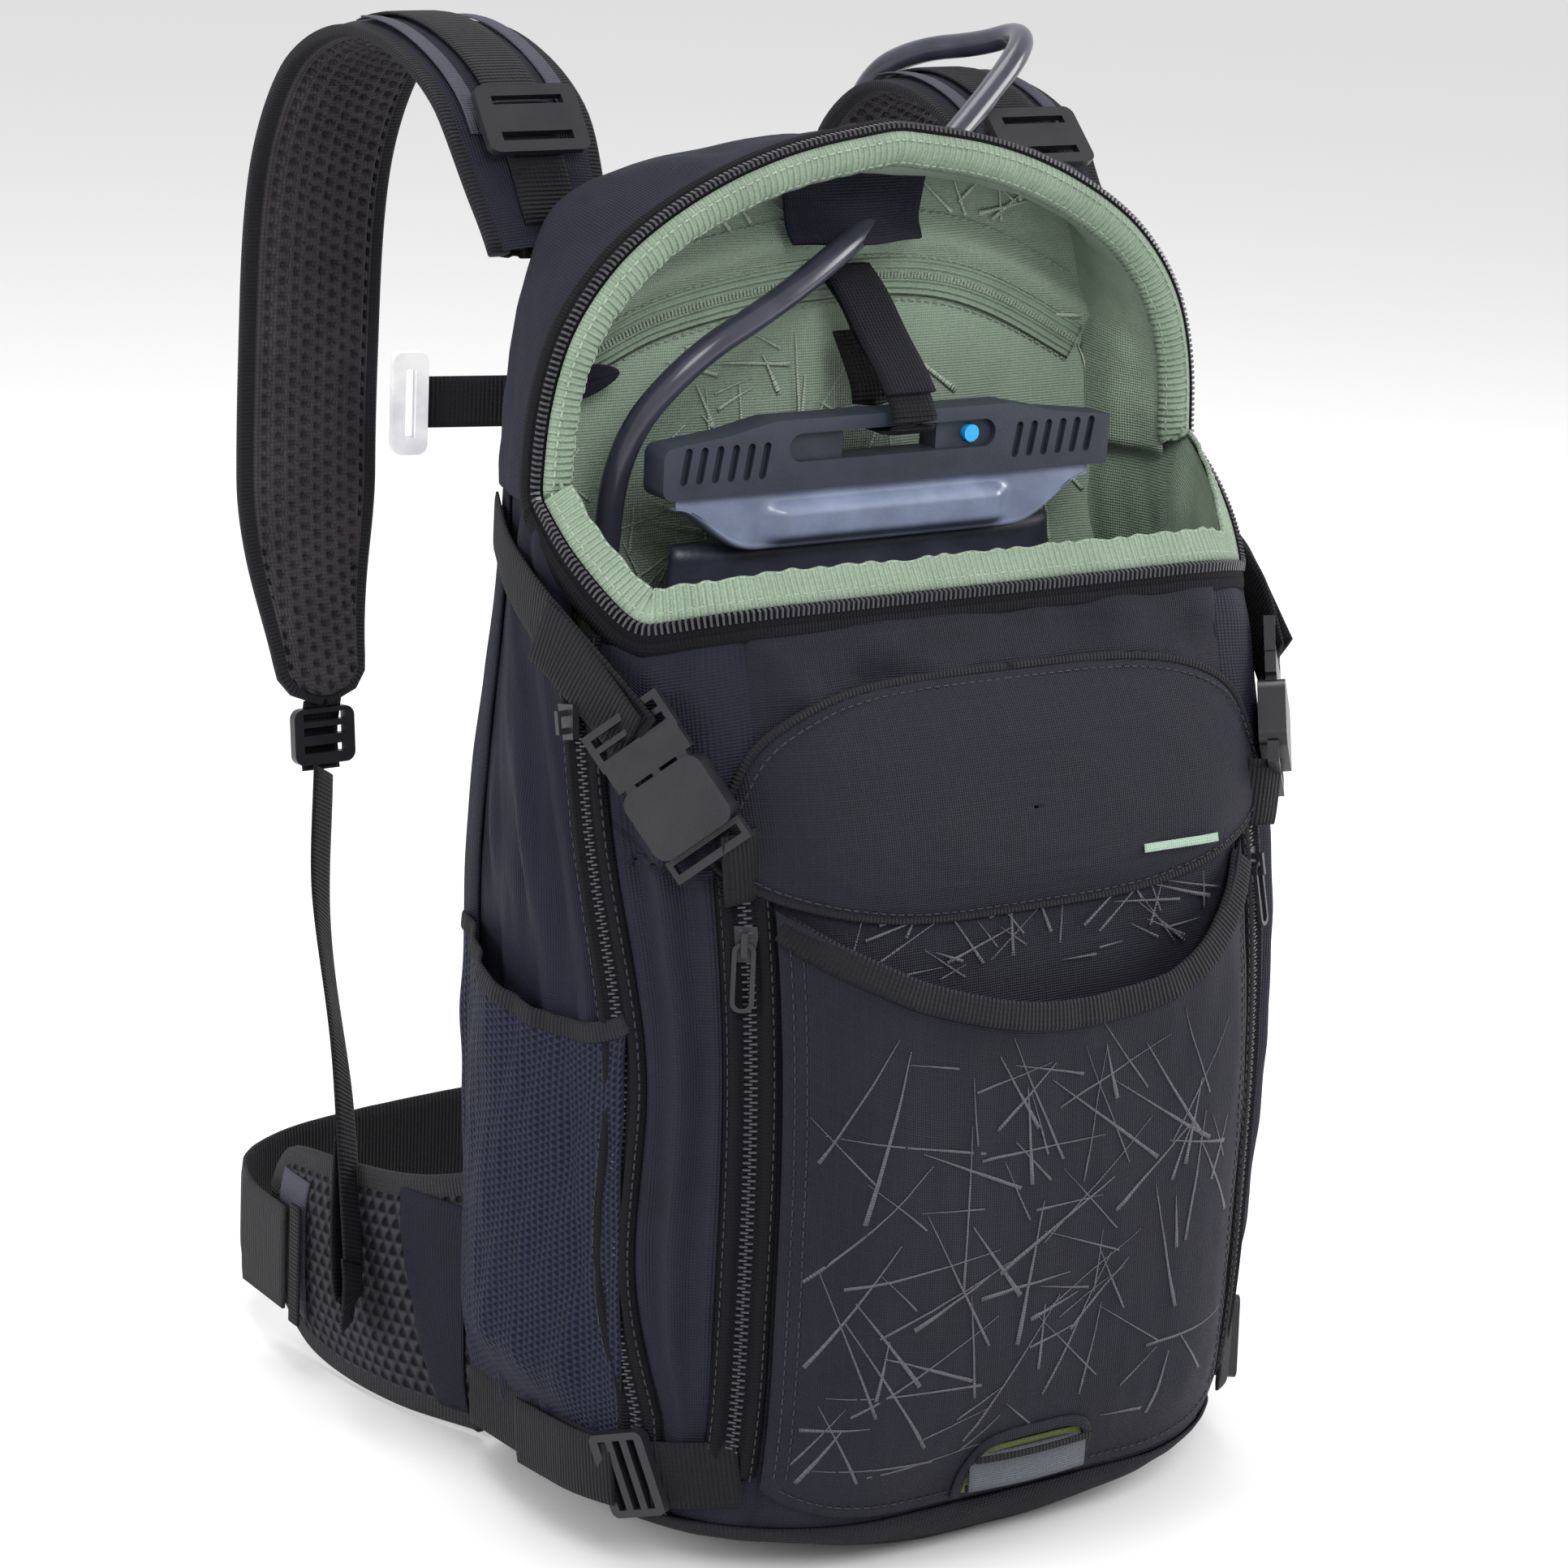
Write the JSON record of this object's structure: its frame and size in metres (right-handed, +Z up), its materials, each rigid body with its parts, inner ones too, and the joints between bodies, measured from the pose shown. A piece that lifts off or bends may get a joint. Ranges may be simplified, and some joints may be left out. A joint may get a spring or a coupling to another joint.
{
  "type": "hydration pack",
  "caption": "Backpack for riding with a drinking reservoir, hose, arched main opening, front stash pocket, side mesh pockets, padded shoulder straps and wrap-around hip belt.",
  "frame": {"origin": "centre of the flat base that the pack stands on", "axes": "+Z up from base to top, +Y towards the wearer, +X to the right as seen from the front"},
  "size_m": [0.3134, 0.3705, 0.514],
  "materials": {
    "shell_fabric": "fine polyester weave, matt",
    "ripstop": "ripstop nylon with a faint grid",
    "mesh_fabric": "stretch mesh",
    "webbing": "ribbed nylon webbing",
    "zip_tape": "woven zip tape with coil",
    "lining": "sage green lining and binding",
    "pad_mesh": "air mesh over foam",
    "black_plastic": "acetal, satin",
    "bar_plastic": "slate moulded plastic",
    "blue_plastic": "gloss blue",
    "clear_plastic": "hazy grey-blue plastic",
    "white_plastic": "pale plastic",
    "reservoir_film": "smooth TPU film",
    "hose_tube": "smooth TPU tube",
    "reflective": "grey reflective tape",
    "metal": "black painted zinc",
    "frame_plastic": "polyethylene sheet"
  },
  "bodies": {
    "pack": {"back_pads": "pad_mesh", "back_panel": "shell_fabric", "base_panel": "shell_fabric", "bite_valve_body": "black_plastic", "brace_links": "black_plastic", "drink_hose": "hose_tube", "frame_sheet": "frame_plastic", "front_panel": "ripstop", "front_zips": "zip_tape", "haul_loop": "webbing", "hip_belt": "webbing", "hip_wing_left": "pad_mesh", "hip_wing_right": "pad_mesh", "hood_panel": "ripstop", "hose_elbow": "black_plastic", "hose_loop": "webbing", "hose_port": "shell_fabric", "inner_pocket": "lining", "inner_pocket_zip": "lining", "light_loop": "reflective", "lower_straps": "webbing", "main_zip": "zip_tape", "pocket_mouth_band": "webbing", "reservoir_bag": "reservoir_film", "reservoir_hanger": "webbing", "reservoir_rail": "clear_plastic", "rim_bindings": "lining", "shoulder_strap_left": "pad_mesh", "shoulder_strap_right": "pad_mesh", "side_gussets": "shell_fabric", "side_panels": "shell_fabric", "side_pocket_left": "mesh_fabric", "side_pocket_right": "mesh_fabric", "side_zips": "zip_tape", "stash_pocket": "ripstop", "strap_webbing": "webbing", "upper_buckle_females": "black_plastic", "upper_shell": "shell_fabric", "upper_strap_left": "webbing", "upper_strap_right": "webbing"},
    "upper_buckle_left": {"upper_buckle_male_left": "black_plastic"},
    "upper_buckle_right": {"upper_buckle_male_right": "black_plastic"},
    "lower_adjuster_left": {"lower_adjuster_left": "black_plastic"},
    "lower_adjuster_right": {"lower_adjuster_right": "black_plastic"},
    "strap_ladder_left": {"strap_ladder_left": "black_plastic"},
    "strap_ladder_right": {"strap_ladder_right": "black_plastic"},
    "front_zip_slider_left": {"front_zip_slider_left": "metal"},
    "front_zip_slider_right": {"front_zip_slider_right": "metal"},
    "front_zip_pull_left": {"front_zip_pull_left": "metal"},
    "front_zip_pull_right": {"front_zip_pull_right": "metal"},
    "side_zip_slider_left": {"side_zip_slider_left": "metal"},
    "side_zip_slider_right": {"side_zip_slider_right": "metal"},
    "sternum_strap": {"sternum_sliders": "white_plastic", "sternum_webs": "webbing", "sternum_buckle_female": "black_plastic"},
    "sternum_release": {"sternum_buckle_male": "black_plastic"},
    "hip_tab": {"hip_belt_tab": "webbing"},
    "slide_bar": {"reservoir_slide_bar": "bar_plastic"},
    "slide_button": {"slide_button": "blue_plastic"},
    "bite_sleeve": {"bite_valve_sleeve": "hose_tube"}
  },
  "joints": [
    {"name": "upper_buckle_release_left", "type": "slide", "parent": "pack", "child": "upper_buckle_left", "axis": [-0.3435, 0.5512, 0.7604], "range_m": [0, 0.022], "deforming": ["upper_strap_left"]},
    {"name": "lower_adjuster_tilt_left", "type": "hinge", "parent": "pack", "child": "lower_adjuster_left", "pos_m": [-0.12739, -0.05174, 0.04367], "axis": [-0.2153, 0.2941, 0.9312], "range_deg": [0, 35]},
    {"name": "strap_ladder_tilt_left", "type": "hinge", "parent": "pack", "child": "strap_ladder_left", "pos_m": [-0.108, 0.24, 0.24], "axis": [1, 0, 0], "range_deg": [-25, 25]},
    {"name": "front_zip_slide_left", "type": "slide", "parent": "pack", "child": "front_zip_slider_left", "axis": [-0.1034, -0.1586, -0.9819], "range_m": [0, 0.02]},
    {"name": "front_zip_pull_swing_left", "type": "hinge", "parent": "front_zip_slider_left", "child": "front_zip_pull_left", "pos_m": [-0.10952, -0.06447, 0.23489], "axis": [-0.8376, 0.5463, 0], "range_deg": [0, 120]},
    {"name": "side_zip_slide_left", "type": "slide", "parent": "pack", "child": "side_zip_slider_left", "axis": [0, -0.2212, -0.9752], "range_m": [0, 0.025]},
    {"name": "upper_buckle_release_right", "type": "slide", "parent": "pack", "child": "upper_buckle_right", "axis": [0.3435, 0.5512, 0.7604], "range_m": [0, 0.022], "deforming": ["upper_strap_right"]},
    {"name": "lower_adjuster_tilt_right", "type": "hinge", "parent": "pack", "child": "lower_adjuster_right", "pos_m": [0.12739, -0.05174, 0.04367], "axis": [-0.2153, -0.2941, -0.9312], "range_deg": [0, 35]},
    {"name": "strap_ladder_tilt_right", "type": "hinge", "parent": "pack", "child": "strap_ladder_right", "pos_m": [0.108, 0.202, 0.24], "axis": [1, 0, 0], "range_deg": [-25, 25]},
    {"name": "front_zip_slide_right", "type": "slide", "parent": "pack", "child": "front_zip_slider_right", "axis": [0.1034, -0.1586, -0.9819], "range_m": [0, 0.02]},
    {"name": "front_zip_pull_swing_right", "type": "hinge", "parent": "front_zip_slider_right", "child": "front_zip_pull_right", "pos_m": [0.10952, -0.06447, 0.23489], "axis": [-0.8376, -0.5463, 0], "range_deg": [0, 120]},
    {"name": "side_zip_slide_right", "type": "slide", "parent": "pack", "child": "side_zip_slider_right", "axis": [0, -0.2212, -0.9752], "range_m": [0, 0.025]},
    {"name": "sternum_height", "type": "slide", "parent": "pack", "child": "sternum_strap", "axis": [0, 0, 1], "range_m": [-0.02, 0.02]},
    {"name": "sternum_buckle_release", "type": "slide", "parent": "sternum_strap", "child": "sternum_release", "axis": [0.9697, -0.2443, 0], "range_m": [0, 0.022], "deforming": ["sternum_webs"]},
    {"name": "hip_tab_peel", "type": "hinge", "parent": "pack", "child": "hip_tab", "pos_m": [-0.1516, 0.214, 0.042], "axis": [0, 0, 1], "range_deg": [-150, 0]},
    {"name": "reservoir_bar_slide", "type": "slide", "parent": "pack", "child": "slide_bar", "axis": [1, 0, 0], "range_m": [0, 0.012]},
    {"name": "slide_button_press", "type": "slide", "parent": "slide_bar", "child": "slide_button", "axis": [0, 1, 0], "range_m": [0, 0.0012], "stiffness_N_per_m": 250},
    {"name": "bite_valve_twist", "type": "hinge", "parent": "pack", "child": "bite_sleeve", "pos_m": [0.107, 0.223, 0.29], "axis": [0, 0, 1], "range_deg": [0, 90]}
  ]
}
